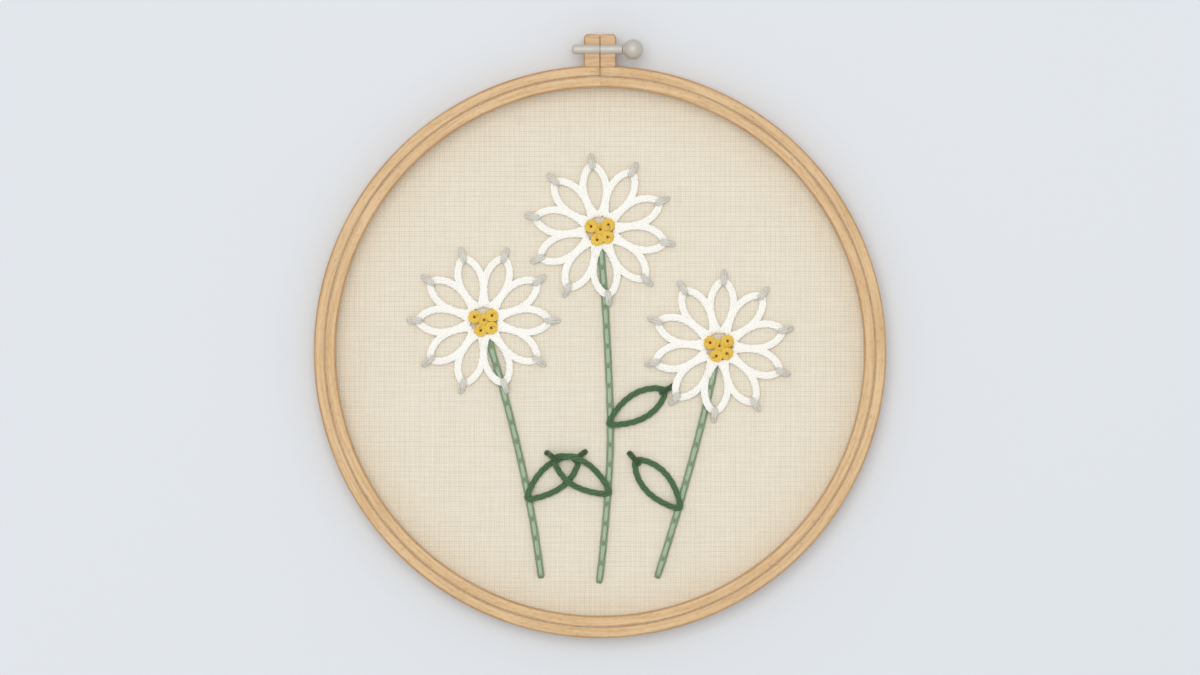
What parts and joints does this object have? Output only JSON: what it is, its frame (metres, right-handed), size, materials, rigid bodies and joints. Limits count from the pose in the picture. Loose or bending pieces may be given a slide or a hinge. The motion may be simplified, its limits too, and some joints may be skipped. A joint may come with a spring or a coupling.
{
  "type": "hoop embroidery art with its wooden hoop",
  "caption": "Daisies embroidered on linen stretched in a round wooden hoop, which lies on its back and is closed by a screw clamp.",
  "frame": {"origin": "centre of the hoop, on the flat back of the linen, which is the surface that the piece lies on", "axes": "+Z out of the embroidered face, +Y from the centre to the screw clamp, +X to the right seen from the front"},
  "size_m": [0.211, 0.2226, 0.0133],
  "materials": {
    "hoop_wood": "light beech, finely sanded and waxed, satin",
    "clamp_metal": "nickel plated, satin",
    "linen_cloth": "plain woven linen, matt",
    "petal_thread": "off-white stranded cotton, soft sheen",
    "tie_thread": "light grey stranded cotton, soft sheen",
    "knot_thread": "golden yellow stranded cotton, soft sheen",
    "stem_thread": "sage green cord with paler stitches, soft sheen",
    "leaf_thread": "leaf green stranded cotton, soft sheen",
    "leaf_tie_thread": "dark green stranded cotton, soft sheen"
  },
  "bodies": {
    "hoop": {"barrel_left": "clamp_metal", "barrel_right": "clamp_metal", "daisy_left_knots": "knot_thread", "daisy_left_petals": "petal_thread", "daisy_left_tie_1": "tie_thread", "daisy_left_tie_10": "tie_thread", "daisy_left_tie_2": "tie_thread", "daisy_left_tie_3": "tie_thread", "daisy_left_tie_4": "tie_thread", "daisy_left_tie_5": "tie_thread", "daisy_left_tie_6": "tie_thread", "daisy_left_tie_7": "tie_thread", "daisy_left_tie_8": "tie_thread", "daisy_left_tie_9": "tie_thread", "daisy_middle_knots": "knot_thread", "daisy_middle_petals": "petal_thread", "daisy_middle_tie_1": "tie_thread", "daisy_middle_tie_10": "tie_thread", "daisy_middle_tie_2": "tie_thread", "daisy_middle_tie_3": "tie_thread", "daisy_middle_tie_4": "tie_thread", "daisy_middle_tie_5": "tie_thread", "daisy_middle_tie_6": "tie_thread", "daisy_middle_tie_7": "tie_thread", "daisy_middle_tie_8": "tie_thread", "daisy_middle_tie_9": "tie_thread", "daisy_right_knots": "knot_thread", "daisy_right_petals": "petal_thread", "daisy_right_tie_1": "tie_thread", "daisy_right_tie_10": "tie_thread", "daisy_right_tie_2": "tie_thread", "daisy_right_tie_3": "tie_thread", "daisy_right_tie_4": "tie_thread", "daisy_right_tie_5": "tie_thread", "daisy_right_tie_6": "tie_thread", "daisy_right_tie_7": "tie_thread", "daisy_right_tie_8": "tie_thread", "daisy_right_tie_9": "tie_thread", "ear_left": "hoop_wood", "ear_right": "hoop_wood", "inner_ring": "hoop_wood", "leaf_left": "leaf_thread", "leaf_left_tie": "leaf_tie_thread", "leaf_middle_high": "leaf_thread", "leaf_middle_high_tie": "leaf_tie_thread", "leaf_middle_low": "leaf_thread", "leaf_middle_low_tie": "leaf_tie_thread", "leaf_right": "leaf_thread", "leaf_right_tie": "leaf_tie_thread", "linen": "linen_cloth", "outer_ring": "hoop_wood", "stem_left": "stem_thread", "stem_middle": "stem_thread", "stem_right": "stem_thread"},
    "screw": {"clamp_screw": "clamp_metal"}
  },
  "joints": [
    {"name": "screw_turn", "type": "hinge", "parent": "hoop", "child": "screw", "pos_m": [0, 0.1115, 0.0096], "axis": [1, 0, 0], "continuous": true}
  ]
}
